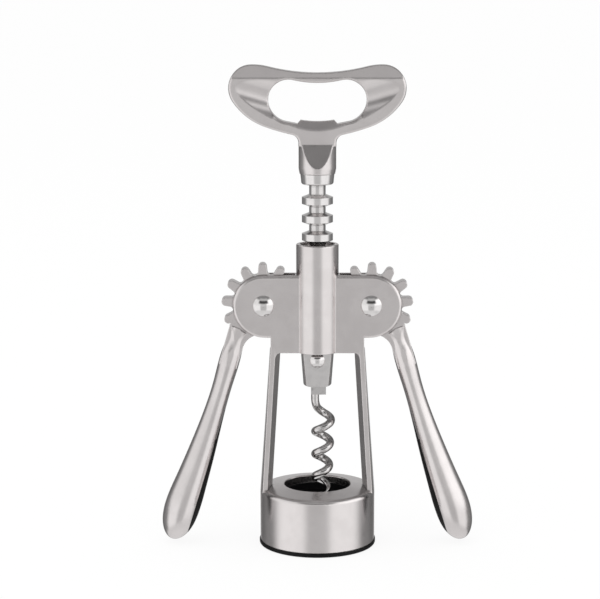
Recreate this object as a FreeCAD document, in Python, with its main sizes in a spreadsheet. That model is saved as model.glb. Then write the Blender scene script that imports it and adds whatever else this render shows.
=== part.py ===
import FreeCAD, Part
import math
import os
import Sketcher

# Wing corkscrew, in millimetres, standing on its bell.
# The origin is the bottom centre of the bell, +Z is up, +X is right and the front faces -Y.

SIZES = {
    # how far a feature runs into the metal that it joins, or a cut past the face that it opens
    "lap": 1.0,
    # bell, its liner and the bottle
    "bell_wall": 2.0,
    "bell_roof": 3.0,
    "bell_top": 22.8,
    "bell_edge_round": 1.8,
    "bell_slope": 9.0,
    "cork_mouth": 24.9,
    "mouth_round": 0.35,
    "rim_height": 1.6,
    "rim_overhang": 0.35,
    "rim_round": 0.8,
    "liner_gap": 0.1,
    "liner_wall": 3.65,
    "liner_roof": 2.5,
    "liner_mouth_step": 0.15,
    "bottle_bore": 31.5,
    "bottle_lead_in": 0.8,
    # guide tube, plates and legs of the casting
    "tube_diameter": 15.75,
    "tube_bore": 12.95,
    "tube_rise": 22.7,
    "tube_edge_round": 0.4,
    "pivot_offset": 19.95,
    "pivot_height": 91.3,
    "plate_end_radius": 11.4,
    "plate_heel_radius": 12.1,
    "plate_depth": 8.4,
    "plate_drop": 17.7,
    "plate_edge_round": 1.2,
    "leg_inset": 2.6,
    "leg_thickness_top": 3.6,
    "leg_thickness_bottom": 4.4,
    "leg_face_width": 1.75,
    "leg_depth_bottom": 12.8,
    "leg_crown": 0.35,
    "leg_inner_round": 2.0,
    "leg_root_depth": 2.4,
    # levers and their gears
    "gear_slot": 5.5,
    "gear_side_gap": 0.25,
    "gear_tip_clearance": 1.3,
    "gear_tip_gap": 0.7,
    "gear_root_clearance": 2.8,
    "tooth_root_width": 3.4,
    "tooth_tip_width": 3.1,
    "tooth_count": 9,
    "teeth_per_turn": 13,
    "tooth_lead": 1.0,
    "lever_rest_angle": 17.3,
    "lever_bore": 4.2,
    "arm_clear_radius": 12.5,
    "web_inset": 0.3,
    "web_throat": 1.0,
    "web_throat_radius": 7.0,
    "web_throat_foot": 18.0,
    "web_foot": 26.0,
    "fishtail_radius": 6.0,
    "fishtail_start": 9.0,
    "fishtail_length": 16.0,
    "fishtail_tilt": 5.7,
    "bulb_end_length": 12.3,
    "grip_gap": 0.05,
    "grip_top": 42.5,
    "grip_top_inset": 2.0,
    "grip_bottom": 97.5,
    "grip_bottom_inset": 1.8,
    "grip_tongue_depth": 2.9,
    "grip_tongue_width": 6.0,
    "grip_tongue_top": 54.0,
    "grip_tongue_bottom": 86.0,
    # rivets
    "rivet_gap": 0.05,
    "pivot_head_diameter": 7.9,
    "pivot_head_height": 1.65,
    "worm_head_diameter": 5.7,
    "worm_head_height": 1.3,
    "worm_shank_diameter": 2.2,
    "worm_rivet_rise": 10.0,
    # ring rack
    "ring_pitch": 6.75,
    "ring_count": 8,
    "ring_diameter": 11.5,
    "ring_tip_width": 2.5,
    "ring_root_width": 4.6,
    "rack_core": 6.1,
    "top_ring_rise": 38.9,
    "head_rise": 5.9,
    "head_length": 3.9,
    "head_diameter": 12.6,
    "head_taper": 0.3,
    "head_round": 0.9,
    "rack_foot_gap": 1.65,
    # spindle and worm
    "spindle_diameter": 3.6,
    "spindle_gap": 0.05,
    "spindle_reach": 9.0,
    "holder_diameter": 12.15,
    "holder_length": 18.4,
    "holder_taper": 0.8,
    "holder_taper_height": 11.4,
    "holder_round": 1.0,
    "holder_across_flats": 6.8,
    "holder_flat_drop": 2.5,
    "wire_diameter": 3.0,
    "helix_radius": 3.07,
    "helix_offset": 2.2,
    "helix_pitch": 8.7,
    "helix_drop": 9.0,
    "helix_shrink": 0.025,
    "helix_start": 108.0,
    "helix_quarters": 15,
    "point_quarters": 3,
    "point_radius": 0.12,
    "point_fullness": 1.5,
    "neck_drop": 4.8,
    "blade_drop": 3.3,
    "blade_left": 2.4,
    "blade_right": 3.2,
    "blade_thickness": 3.1,
    "blade_reach": 13.5,
    "blade_gap": 0.05,
    # bow handle
    "bow_depth": 7.8,
    "neck_radius": 6.93,
    "neck_taper_height": 2.0,
    "neck_foot_radius": 6.55,
    "pad_depth": 1.2,
    "facet_rise": 2.25,
    "facet_height": 8.65,
    "band_drop": 4.8,
    "band_edge": 3.3,
    "tongue_half_width": 6.1,
    "tongue_rise": 19.7,
    "tongue_sag": 0.5,
    "tongue_edge": 2.4,
    "tongue_flare": 1.2,
    "tongue_flare_drop": 0.85,
    "tongue_height": 3.6,
    "lip_cutter_radius": 31.0,
    "bow_edge_round": 0.9,
    "hollow_radius": 9.4,
    "hollow_tip": 29.8,
    "hollow_tip_rise": 32.1,
    "hollow_slope": 17.7,
    "hollow_tilt": 10.8,
    "hollow_length": 16.0,
    "hollow_lead": 2.0,
}

# Arm of a lever, hanging straight down from its pivot: level below the pivot,
# middle of the section outboard of the pivot, width and front-to-back depth.
ARM_STATIONS = {
    "shoulder": (11.0, 5.75, 8.2, 8.3),
    "neck": (21.0, 6.05, 7.5, 7.6),
    "shaft": (33.0, 5.8, 7.3, 8.2),
    "waist": (46.0, 5.72, 7.9, 8.9),
    "swell": (60.0, 5.85, 10.0, 11.2),
    "grip": (73.0, 6.28, 12.1, 13.7),
    "bulb": (84.0, 6.66, 13.2, 15.0),
}

# Sections of the bulb's round end, by their angle round it.
BULB_END_ANGLES = (30, 52, 68, 80)

# Cross-sections of the worm's pointed end.
POINT_SECTIONS = 10

# Left half of the bow's outer edge and of its opening, from the top middle round to the neck:
# distance from the middle, rise above the rack's head, and radius of the arc that ends there,
# negative where it is hollow. The last stretch of the opening is straight.
BOW_TOP = 36.85
BOW_EDGE = {
    "sag": (18.2, 39.15, -73.7),
    "crest": (24.45, 39.8, 22.25),
    "horn": (32.3, 32.7, 8.25),
    "cheek": (30.9, 26.5, 8.95),
    "flank": (19.35, 17.4, 23.8),
    "chin": (9.35, 14.5, 76.0),
    "throat": (6.93, 11.5, -3.05),
}
OPENING_TOP = 33.3
OPENING_EDGE = {
    "brow": (8.8, 34.3, -39.3),
    "side": (16.85, 23.0, 7.5),
    "corner": (11.6, 19.15, 7.8),
}


class Size:
    """A length or count, with the sheet expression that it comes from."""

    def __init__(self, value, text):
        self.value = float(value)
        self.text = text

    def __add__(self, other):
        other = sized(other)
        return Size(self.value + other.value, f"({self.text} + {other.text})")

    def __radd__(self, other):
        return sized(other) + self

    def __sub__(self, other):
        other = sized(other)
        return Size(self.value - other.value, f"({self.text} - {other.text})")

    def __rsub__(self, other):
        return sized(other) - self

    def __mul__(self, other):
        other = sized(other)
        return Size(self.value * other.value, f"({self.text} * {other.text})")

    def __rmul__(self, other):
        return sized(other) * self

    def __truediv__(self, other):
        other = sized(other)
        return Size(self.value / other.value, f"({self.text} / {other.text})")

    def __rtruediv__(self, other):
        return sized(other) / self

    def __neg__(self):
        return Size(-self.value, f"(-1 * {self.text})")


def sized(value):
    """A plain number as a Size, and a Size as it is."""
    if isinstance(value, Size):
        return value
    return Size(value, f"({value})")


def root(size):
    """Square root of a Size."""
    return Size(math.sqrt(size.value), f"sqrt({size.text})")


def sine(angle):
    """Sine of a Size in degrees."""
    return Size(math.sin(math.radians(angle.value)), f"sin({angle.text})")


def cosine(angle):
    """Cosine of a Size in degrees."""
    return Size(math.cos(math.radians(angle.value)), f"cos({angle.text})")


def leg_of(hypotenuse, other_leg):
    """Third side of a right triangle."""
    return root(hypotenuse * hypotenuse - other_leg * other_leg)


def cap_radius(half_width, rise):
    """Radius of the round cap that rises over a flat of the given half width."""
    return (half_width * half_width + rise * rise) / (2 * rise)


class Sheet:
    """The driving sizes, each read as an attribute."""

    def __init__(self, doc):
        self.cells = doc.addObject("Spreadsheet::Sheet", "Sizes")
        self.row = 0
        for alias, number in SIZES.items():
            self.store(alias, number)
        for station, numbers in ARM_STATIONS.items():
            for alias, number in zip(station_aliases(station), numbers):
                self.store(alias, number)
        self.store("bow_top_rise", BOW_TOP)
        self.store("opening_top_rise", OPENING_TOP)
        for edge, places in (("bow", BOW_EDGE), ("opening", OPENING_EDGE)):
            for place, numbers in places.items():
                for alias, number in zip(edge_aliases(edge, place), numbers):
                    self.store(alias, number)
        doc.recompute()
        self.derive()

    def derive(self):
        """Radii and levels that follow from the driving sizes, each from what it stands on."""
        self.liner_radius = self.bottle_bore / 2 + self.liner_wall
        self.bell_radius = self.liner_radius + self.liner_gap + self.bell_wall
        self.tube_top = self.pivot_height + self.tube_rise
        self.plate_bottom = self.pivot_height - self.plate_drop
        self.leg_half_span = self.pivot_offset - self.leg_inset
        self.gear_tip_radius = self.pivot_offset - self.rack_core / 2 - self.gear_tip_clearance
        self.gear_root_radius = (self.pivot_offset - self.ring_diameter / 2
                                 - self.gear_root_clearance)
        self.top_ring_level = self.pivot_height + self.top_ring_rise
        self.bottom_ring_level = self.top_ring_level - self.ring_pitch * (self.ring_count - 1)
        self.rack_foot = self.bottom_ring_level - self.ring_root_width / 2 - self.rack_foot_gap
        self.head_bottom = self.top_ring_level + self.head_rise
        self.head_top = self.head_bottom + self.head_length
        self.holder_bottom = self.rack_foot - self.holder_length
        self.worm_rivet_level = self.holder_bottom + self.worm_rivet_rise

    def store(self, alias, number):
        self.row += 1
        self.cells.set(f"A{self.row}", alias)
        self.cells.set(f"B{self.row}", str(number))
        self.cells.setAlias(f"B{self.row}", alias)
        setattr(self, alias, Size(number, f"Sizes.{alias}"))


def station_aliases(station):
    """Sheet names of one arm station."""
    return [f"arm_{station}_{part}" for part in ("level", "middle", "width", "depth")]


def edge_aliases(edge, place):
    """Sheet names of one point of the bow's edges."""
    return [f"{edge}_{place}_{part}" for part in ("across", "rise", "radius")]


def bind(item, name, value):
    """Gives a property its value, tied to the sheet where the value is a Size."""
    if isinstance(value, Size):
        item.setExpression(name, value.text)
    else:
        setattr(item, name, value)


def origin_part(body, role):
    """One of a body's own origin planes or axes."""
    return next(item for item in body.Origin.OriginFeatures if item.Role == role)


class Drawing:
    """A sketch on an origin plane of its body, with every point tied to the sheet."""

    def __init__(self, body, name, role, level=None, turn=None):
        self.sketch = body.newObject("Sketcher::SketchObject", name)
        self.sketch.AttachmentSupport = [(origin_part(body, role), "")]
        self.sketch.MapMode = "FlatFace"
        if turn is not None:
            axis = FreeCAD.Vector(0, 0, 1)
            self.sketch.AttachmentOffset.Rotation = FreeCAD.Rotation(axis, turn.value)
            self.sketch.setExpression("AttachmentOffset.Rotation.Angle", turn.text)
        if level is not None:
            self.sketch.setExpression("AttachmentOffset.Base.z", level.text)

    def tie(self, kind, *where, size):
        """One dimension of the sketch, tied to its size."""
        index = self.sketch.addConstraint(Sketcher.Constraint(kind, *where, size.value))
        self.sketch.setExpression(f"Constraints[{index}]", size.text)

    def pin(self, shape, end, x, y):
        """Fixes a point of the sketch by its distances from the origin."""
        for kind, axis, size in (("DistanceX", -2, sized(x)), ("DistanceY", -1, sized(y))):
            if isinstance(x if kind == "DistanceX" else y, Size):
                self.tie(kind, -1, 1, shape, end, size=size)
            elif size.value == 0:
                self.sketch.addConstraint(Sketcher.Constraint("PointOnObject", shape, end, axis))
            else:
                self.sketch.addConstraint(Sketcher.Constraint(kind, -1, 1, shape, end, size.value))

    def outline(self, *steps):
        """A closed outline through steps of (x, y) for a line to that point, or (x, y, radius)
        for an arc to it, which turns left where the radius is positive and right where it isn't."""
        first = len(self.sketch.Geometry)
        ends = []
        start = steps[-1]
        for number, step in enumerate(steps):
            here = FreeCAD.Vector(sized(start[0]).value, sized(start[1]).value, 0)
            there = FreeCAD.Vector(sized(step[0]).value, sized(step[1]).value, 0)
            if len(step) == 2:
                self.sketch.addGeometry(Part.LineSegment(here, there), False)
                ends.append((first + number, 1, 2))
            else:
                left_turn = step[2].value > 0
                self.sketch.addGeometry(arc_between(here, there, step[2].value), False)
                ends.append((first + number, 1, 2) if left_turn else (first + number, 2, 1))
            start = step
        for number, step in enumerate(steps):
            shape, enter, leave = ends[number]
            after, after_enter, after_leave = ends[(number + 1) % len(steps)]
            self.sketch.addConstraint(
                Sketcher.Constraint("Coincident", shape, leave, after, after_enter))
            self.pin(shape, leave, step[0], step[1])
            if len(step) == 3:
                radius = step[2] if step[2].value > 0 else -step[2]
                self.tie("Radius", shape, size=radius)
        return self

    def circle(self, x, y, radius):
        """A full circle."""
        centre = FreeCAD.Vector(sized(x).value, sized(y).value, 0)
        normal = FreeCAD.Vector(0, 0, 1)
        shape = self.sketch.addGeometry(Part.Circle(centre, normal, radius.value), False)
        self.pin(shape, 3, x, y)
        self.tie("Radius", shape, size=radius)
        return self

    def upright_ellipse(self, x, half_width, half_height):
        """An ellipse on the sketch's X axis, taller than it is wide."""
        centre = FreeCAD.Vector(x.value, 0, 0)
        top = centre + FreeCAD.Vector(0, half_height.value, 0)
        side = centre + FreeCAD.Vector(-half_width.value, 0, 0)
        shape = self.sketch.addGeometry(Part.Ellipse(top, side, centre), False)
        self.sketch.exposeInternalGeometry(shape)
        self.pin(shape, 3, x, 0)
        self.sketch.addConstraint(Sketcher.Constraint("Vertical", shape + 1))
        self.tie("Distance", shape + 1, size=2 * half_height)
        self.tie("Distance", shape + 2, size=2 * half_width)
        return self


def arc_between(here, there, radius):
    """The short arc from one point to another, to the left for a positive radius."""
    across = there - here
    left = FreeCAD.Vector(-across.y, across.x, 0).normalize()
    rise = math.sqrt(max(radius * radius - across.Length ** 2 / 4, 0))
    centre = (here + there) / 2 + left * (rise if radius > 0 else -rise)
    first, last = (here, there) if radius > 0 else (there, here)
    start_angle = math.atan2(first.y - centre.y, first.x - centre.x)
    end_angle = math.atan2(last.y - centre.y, last.x - centre.x)
    circle = Part.Circle(centre, FreeCAD.Vector(0, 0, 1), abs(radius))
    return Part.ArcOfCircle(circle, start_angle, end_angle)


def add(body, kind, name, profile=None, **settings):
    """A PartDesign feature of a body."""
    item = body.newObject(f"PartDesign::{kind}", name)
    if profile is not None:
        item.Profile = profile.sketch
        profile.sketch.Visibility = False
    for setting, value in settings.items():
        bind(item, setting, value)
    return item


def slab(body, name, profile, thickness):
    """Adds a slab, half of it each side of the sketch."""
    return add(body, "Pad", name, profile, Midplane=True, Length=thickness)


def cut_slab(body, name, profile, thickness=None):
    """Cuts both ways from the sketch, right through where no thickness is given."""
    if thickness is None:
        return add(body, "Pocket", name, profile, Midplane=True, Type="ThroughAll")
    return add(body, "Pocket", name, profile, Midplane=True, Length=thickness)


def turned(body, name, profile):
    """Adds the sketch turned about its vertical axis."""
    axis = (profile.sketch, ["V_Axis"])
    return add(body, "Revolution", name, profile, ReferenceAxis=axis, Angle=360)


def mirrored(body, name, role, *originals):
    """Repeats features on the other side of an origin plane."""
    item = add(body, "Mirrored", name, MirrorPlane=(origin_part(body, role), [""]))
    item.Originals = list(originals)
    body.Tip = item
    return item


def new_body(doc, label):
    """A body whose label names its file."""
    body = doc.addObject("PartDesign::Body", label)
    body.Label = label
    return body


def edges_where(item, test):
    """Names of the edges of a feature whose points all pass a test."""
    names = []
    for number, edge in enumerate(item.Shape.Edges, start=1):
        first, last = edge.ParameterRange
        points = [edge.valueAt(first + (last - first) * share) for share in (0.0, 0.5, 1.0)]
        if all(test(point) for point in points):
            names.append(f"Edge{number}")
    return names


def rounded(body, name, base, test, radius):
    """Rounds the edges of a feature that pass a test."""
    FreeCAD.ActiveDocument.recompute()
    item = add(body, "Fillet", name, Radius=radius)
    item.Base = (base, edges_where(base, test))
    return item


def near(one, other, reach=0.001):
    """True where two numbers are the same length."""
    return abs(one - other) < reach


def make_frame_casting(doc, s):
    """Guide tube, two gear plates, two legs and the bell, cast in one piece."""
    body = new_body(doc, "frame_casting")
    bell_radius = s.bell_radius
    bell_bore = bell_radius - s.bell_wall
    mouth_radius = s.cork_mouth / 2
    roof_under = s.bell_top - s.bell_roof
    slope_start = mouth_radius + s.mouth_round
    slope_end = bell_radius - s.bell_edge_round * (1 - sine(s.bell_slope))
    fall = (slope_end - slope_start) * sine(s.bell_slope) / cosine(s.bell_slope)
    shoulder = s.bell_top - fall
    wall_top = shoulder - s.bell_edge_round * cosine(s.bell_slope)
    bell = Drawing(body, "bell_section", "XZ_Plane").outline(
        (slope_start, s.bell_top),
        (mouth_radius, s.bell_top - s.mouth_round, s.mouth_round),
        (mouth_radius, roof_under),
        (bell_bore, roof_under),
        (bell_bore, s.rim_height),
        (bell_radius, s.rim_height),
        (bell_radius, wall_top),
        (slope_end, shoulder, s.bell_edge_round))
    turned(body, "bell", bell)

    tube_radius = s.tube_diameter / 2
    tube = Drawing(body, "tube_section", "XZ_Plane").outline(
        (0, s.plate_bottom),
        (tube_radius, s.plate_bottom),
        (tube_radius, s.tube_top - s.tube_edge_round),
        (tube_radius - s.tube_edge_round, s.tube_top, s.tube_edge_round),
        (0, s.tube_top))
    turned(body, "tube", tube)

    half_depth = s.plate_depth / 2
    end_top = s.pivot_height + s.plate_end_radius
    end_reach = s.pivot_offset + s.plate_end_radius
    heel_level = s.pivot_height - s.plate_heel_radius
    heel_across = end_reach - s.plate_heel_radius
    face_inner = s.leg_half_span - s.leg_face_width
    stub_bottom = s.plate_bottom - s.leg_inner_round
    round_inner = face_inner - s.leg_inner_round
    plates = Drawing(body, "plate_outline", "XZ_Plane").outline(
        (-s.pivot_offset, end_top),
        (-end_reach, s.pivot_height, s.plate_end_radius),
        (-heel_across, heel_level, s.plate_heel_radius),
        (-s.leg_half_span, heel_level),
        (-s.leg_half_span, stub_bottom),
        (-face_inner, stub_bottom),
        (-round_inner, s.plate_bottom, -s.leg_inner_round),
        (round_inner, s.plate_bottom),
        (face_inner, stub_bottom, -s.leg_inner_round),
        (s.leg_half_span, stub_bottom),
        (s.leg_half_span, heel_level),
        (heel_across, heel_level),
        (end_reach, s.pivot_height, s.plate_heel_radius),
        (s.pivot_offset, end_top, s.plate_end_radius))
    slab(body, "plates", plates, s.plate_depth)

    leg_top = Drawing(body, "leg_top_section", "XY_Plane", level=s.plate_bottom + s.lap).outline(
        (-s.leg_half_span, half_depth),
        (-s.leg_half_span, -half_depth, cap_radius(half_depth, s.leg_crown)),
        (-face_inner, -half_depth),
        (-(s.leg_half_span - s.leg_thickness_top), 0),
        (-face_inner, half_depth))
    root_half_depth = s.leg_depth_bottom / 2
    root_corner = leg_of(bell_radius, root_half_depth)
    root_level = s.bell_top - s.leg_root_depth
    leg_root = Drawing(body, "leg_root_section", "XY_Plane", level=root_level).outline(
        (-root_corner, root_half_depth),
        (-root_corner, -root_half_depth, bell_radius),
        (-(root_corner - s.leg_face_width), -root_half_depth),
        (-(bell_radius - s.leg_thickness_bottom), 0),
        (-(root_corner - s.leg_face_width), root_half_depth))
    leg = add(body, "AdditiveLoft", "leg", leg_top, Ruled=True)
    leg.Sections = [leg_root.sketch]
    mirrored(body, "other_leg", "YZ_Plane", leg)

    cavity_radius = s.gear_tip_radius + s.gear_tip_gap
    cavity = Drawing(body, "gear_cavity_outline", "XZ_Plane")
    cavity.circle(-s.pivot_offset, s.pivot_height, cavity_radius)
    left_cavity = cut_slab(body, "gear_cavity", cavity, s.gear_slot)
    mirrored(body, "other_gear_cavity", "YZ_Plane", left_cavity)

    bore = Drawing(body, "tube_bore_outline", "XY_Plane").circle(0, 0, s.tube_bore / 2)
    cut_slab(body, "rack_bore", bore)

    holes = Drawing(body, "rivet_hole_outline", "XZ_Plane")
    holes.circle(-s.pivot_offset, s.pivot_height, s.lever_bore / 2)
    holes.circle(s.pivot_offset, s.pivot_height, s.lever_bore / 2)
    last = cut_slab(body, "rivet_holes", holes)

    def on_plate_rim(point):
        on_face = near(abs(point.y), half_depth.value)
        away = abs(point.x) > tube_radius.value
        in_hole = math.hypot(abs(point.x) - s.pivot_offset.value,
                             point.z - s.pivot_height.value) < s.lever_bore.value
        above_legs = point.z > heel_level.value - 0.01
        return on_face and away and above_legs and not in_hole

    rounded(body, "plate_rims", last, on_plate_rim, s.plate_edge_round)
    return body


def make_bell_liner(doc, s):
    """Plastic bush that fills the bell, with the rim that the corkscrew stands on."""
    body = new_body(doc, "bell_liner")
    outer = s.liner_radius
    rim = s.bell_radius + s.rim_overhang
    bore = s.bottle_bore / 2
    mouth = s.cork_mouth / 2 - s.liner_mouth_step
    top = s.bell_top - s.bell_roof
    section = Drawing(body, "liner_section", "XZ_Plane").outline(
        (bore + s.bottle_lead_in, 0),
        (rim - s.rim_round, 0),
        (rim, s.rim_round, s.rim_round),
        (rim, s.rim_height),
        (outer, s.rim_height),
        (outer, top),
        (mouth, top),
        (mouth, top - s.liner_roof),
        (bore, top - s.liner_roof),
        (bore, s.bottle_lead_in))
    turned(body, "liner", section)
    return body


def arm_sections(body, s):
    """Sketches of the arm's upright ellipses, from the gear to the round end of the bulb."""
    drawings = []
    for station in ARM_STATIONS:
        level, middle, width, depth = (getattr(s, alias) for alias in station_aliases(station))
        drawing = Drawing(body, f"{station}_section", "XY_Plane", level=-level)
        drawings.append(drawing.upright_ellipse(-middle, width / 2, depth / 2))
    for angle in BULB_END_ANGLES:
        drop = level + s.bulb_end_length * math.sin(math.radians(angle))
        share = math.cos(math.radians(angle))
        drawing = Drawing(body, f"bulb_end_{angle}_section", "XY_Plane", level=-drop)
        drawings.append(drawing.upright_ellipse(-middle, width / 2 * share, depth / 2 * share))
    return drawings


def add_arm(body, s):
    """Loft of the whole arm."""
    sections = arm_sections(body, s)
    arm = add(body, "AdditiveLoft", "arm", sections[0])
    arm.Sections = [section.sketch for section in sections[1:]]
    return arm


def grip_seam(body, name, s, gap):
    """Outline of the inner side of the arm that the grip fills, grown by a gap."""
    beyond = s.arm_bulb_width
    top = -(s.grip_top - gap)
    bottom = -s.grip_bottom
    drawing = Drawing(body, name, "XZ_Plane")
    drawing.outline(
        (beyond, bottom),
        (beyond, top),
        (-(s.grip_top_inset + gap), top),
        (-(s.grip_bottom_inset + gap), bottom))
    return drawing


def tongue_outline(body, name, s, gap):
    """Outline of the rib behind the grip, which sits in a slot of the lever."""
    drawing = Drawing(body, name, "XZ_Plane")
    inner = s.grip_bottom_inset + s.grip_tongue_depth + gap
    top = -(s.grip_tongue_top - gap)
    bottom = -(s.grip_tongue_bottom + gap)
    drawing.outline(
        (-inner, top),
        (-inner, bottom),
        (-(s.grip_bottom_inset + gap), bottom),
        (-(s.grip_bottom_inset + gap), top))
    return drawing


def lever_placement(s, side):
    """Where a hanging arm goes: turned out from its pivot, on the side given."""
    depth_axis = FreeCAD.Vector(0, 1, 0)
    up_axis = FreeCAD.Vector(0, 0, 1)
    half_turn = FreeCAD.Rotation(up_axis, 0 if side < 0 else 180)
    swing = FreeCAD.Rotation(depth_axis, -side * s.lever_rest_angle.value)
    spot = FreeCAD.Vector(side * s.pivot_offset.value, 0, s.pivot_height.value)
    return FreeCAD.Placement(spot, swing * half_turn)


def mesh_angle(s):
    """Angle of the first gear tooth above the level line, from the gap that it stands in."""
    pitch_radius = s.ring_pitch.value * s.teeth_per_turn.value / (2 * math.pi)
    rings_below = math.ceil(s.top_ring_rise.value / s.ring_pitch.value)
    rise = s.top_ring_rise.value - (rings_below - 0.5) * s.ring_pitch.value
    return math.degrees(rise / pitch_radius)


def make_lever(doc, s, label, side):
    """Lever with its gear: a flat geared web that swells into a round arm with a hollow."""
    body = new_body(doc, label)
    add_arm(body, s)
    turning = Drawing(body, "turning_outline", "XZ_Plane").circle(0, 0, s.arm_clear_radius)
    cut_slab(body, "room_for_the_plates", turning)

    gear_thickness = s.gear_slot - 2 * s.gear_side_gap
    neck_outer = s.arm_neck_middle + s.arm_neck_width / 2
    neck_inner = s.arm_neck_middle - s.arm_neck_width / 2
    web_corner = leg_of(s.gear_root_radius, neck_outer)
    web_start = leg_of(s.gear_root_radius, s.web_throat)
    web = Drawing(body, "web_outline", "XZ_Plane").outline(
        (-neck_outer + s.web_inset, -s.web_foot),
        (-neck_inner - s.web_inset, -s.web_foot),
        (-neck_inner - s.web_inset, -s.web_throat_foot),
        (s.web_throat, -web_start, -s.web_throat_radius),
        (0, s.gear_root_radius, s.gear_root_radius),
        (-neck_outer, -web_corner, s.gear_root_radius))
    slab(body, "gear_web", web, gear_thickness)

    tooth_step = 360 / s.teeth_per_turn
    lead = mesh_angle(s) + s.tooth_lead
    first_angle = s.lever_rest_angle + lead - tooth_step
    tip_radius = s.tooth_tip_width / 2
    tip_start = s.gear_tip_radius - tip_radius
    half_width = s.tooth_root_width / 2
    rise = cosine(tooth_step / 2)
    spread = sine(tooth_step / 2)
    valley_radius = (s.gear_root_radius * spread - half_width) / (1 - spread)
    flank_start = (s.gear_root_radius + valley_radius) * rise
    foot = s.gear_root_radius - s.lap
    tooth = Drawing(body, "tooth_outline", "XZ_Plane", turn=first_angle).outline(
        (foot * rise, -foot * spread),
        (s.gear_root_radius * rise, -s.gear_root_radius * spread),
        (flank_start, -half_width, -valley_radius),
        (tip_start, -tip_radius),
        (s.gear_tip_radius, 0, tip_radius),
        (tip_start, tip_radius, tip_radius),
        (flank_start, half_width),
        (s.gear_root_radius * rise, s.gear_root_radius * spread, -valley_radius),
        (foot * rise, foot * spread))
    one_tooth = slab(body, "tooth", tooth, gear_thickness)
    teeth = add(body, "PolarPattern", "teeth", Axis=(origin_part(body, "Y_Axis"), [""]))
    teeth.Originals = [one_tooth]
    teeth.Reversed = True
    bind(teeth, "Occurrences", s.tooth_count)
    bind(teeth, "Angle", tooth_step * (s.tooth_count - 1))
    body.Tip = teeth

    tilt = math.radians(s.fishtail_tilt.value)
    for name, face in (("front", -1), ("back", 1)):
        fishtail = add(body, "SubtractiveCylinder", f"{name}_fishtail", Radius=s.fishtail_radius,
                       Height=s.fishtail_length)
        offset = gear_thickness.value / 2 + s.fishtail_radius.value
        base = FreeCAD.Vector(-s.arm_neck_middle.value, face * offset, -s.fishtail_start.value)
        way = FreeCAD.Vector(0, face * math.sin(tilt), -math.cos(tilt))
        turn = FreeCAD.Rotation(FreeCAD.Vector(0, 0, 1), way)
        fishtail.Placement = FreeCAD.Placement(base, turn)

    cut_slab(body, "grip_seat", grip_seam(body, "grip_seat_outline", s, s.grip_gap))
    slot = tongue_outline(body, "grip_slot_outline", s, s.grip_gap)
    cut_slab(body, "grip_slot", slot, s.grip_tongue_width + 2 * s.grip_gap)
    bore = Drawing(body, "lever_bore_outline", "XZ_Plane").circle(0, 0, s.lever_bore / 2)
    cut_slab(body, "lever_bore", bore)
    body.Placement = lever_placement(s, side)
    return body


def make_grip(doc, s, label, side):
    """Soft insert on the inner side of an arm, flush with the metal around it."""
    body = new_body(doc, label)
    add_arm(body, s)
    room = s.grip_bottom + s.arm_bulb_width
    outside = grip_seam(body, "grip_outline", s, sized(0.0))
    outside.outline((-room, -room), (room, -room), (room, room), (-room, room))
    cut_slab(body, "all_but_the_grip", outside)
    tongue = tongue_outline(body, "tongue_outline", s, sized(0.0))
    slab(body, "tongue", tongue, s.grip_tongue_width)
    body.Placement = lever_placement(s, side)
    return body


def make_rivet(doc, label, spot, shank_diameter, grip_length, head_diameter, head_height):
    """Rivet through the object from front to back, with a dome at each end."""
    body = new_body(doc, label)
    shank = shank_diameter / 2
    head = head_diameter / 2
    seat = grip_length / 2
    top = seat + head_height
    dome = cap_radius(head, head_height)
    section = Drawing(body, "rivet_section", "XZ_Plane").outline(
        (0, -top),
        (head, -seat, dome),
        (shank, -seat),
        (shank, seat),
        (head, seat),
        (0, top, dome))
    turned(body, "rivet", section)
    lying = FreeCAD.Rotation(FreeCAD.Vector(1, 0, 0), 90)
    body.Placement = FreeCAD.Placement(FreeCAD.Vector(*spot), lying)
    return body


def make_rack(doc, s):
    """Sleeve with ring teeth all round, so that the gears mesh at any turn of the bow."""
    body = new_body(doc, "ring_rack")
    core = s.rack_core / 2
    head = s.head_diameter / 2
    head_foot = head - s.head_taper
    shaft = Drawing(body, "core_section", "XZ_Plane").outline(
        (0, s.rack_foot),
        (core, s.rack_foot),
        (core, s.head_bottom),
        (head_foot - s.head_round, s.head_bottom),
        (head_foot, s.head_bottom + s.head_round, s.head_round),
        (head, s.head_top),
        (0, s.head_top))
    turned(body, "core", shaft)
    ring_radius = s.ring_diameter / 2
    ring = Drawing(body, "ring_section", "XZ_Plane").outline(
        (core - s.lap, s.top_ring_level - s.ring_root_width / 2),
        (core, s.top_ring_level - s.ring_root_width / 2),
        (ring_radius, s.top_ring_level - s.ring_tip_width / 2),
        (ring_radius, s.top_ring_level + s.ring_tip_width / 2),
        (core, s.top_ring_level + s.ring_root_width / 2),
        (core - s.lap, s.top_ring_level + s.ring_root_width / 2))
    one_ring = turned(body, "ring", ring)
    rings = add(body, "LinearPattern", "rings", Direction=(origin_part(body, "Z_Axis"), [""]))
    rings.Originals = [one_ring]
    rings.Reversed = True
    bind(rings, "Occurrences", s.ring_count)
    bind(rings, "Length", s.ring_pitch * (s.ring_count - 1))
    body.Tip = rings
    bore_radius = s.spindle_diameter / 2 + s.spindle_gap
    bore = Drawing(body, "rack_bore_outline", "XY_Plane").circle(0, 0, bore_radius)
    cut_slab(body, "rack_bore", bore)
    return body


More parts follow.
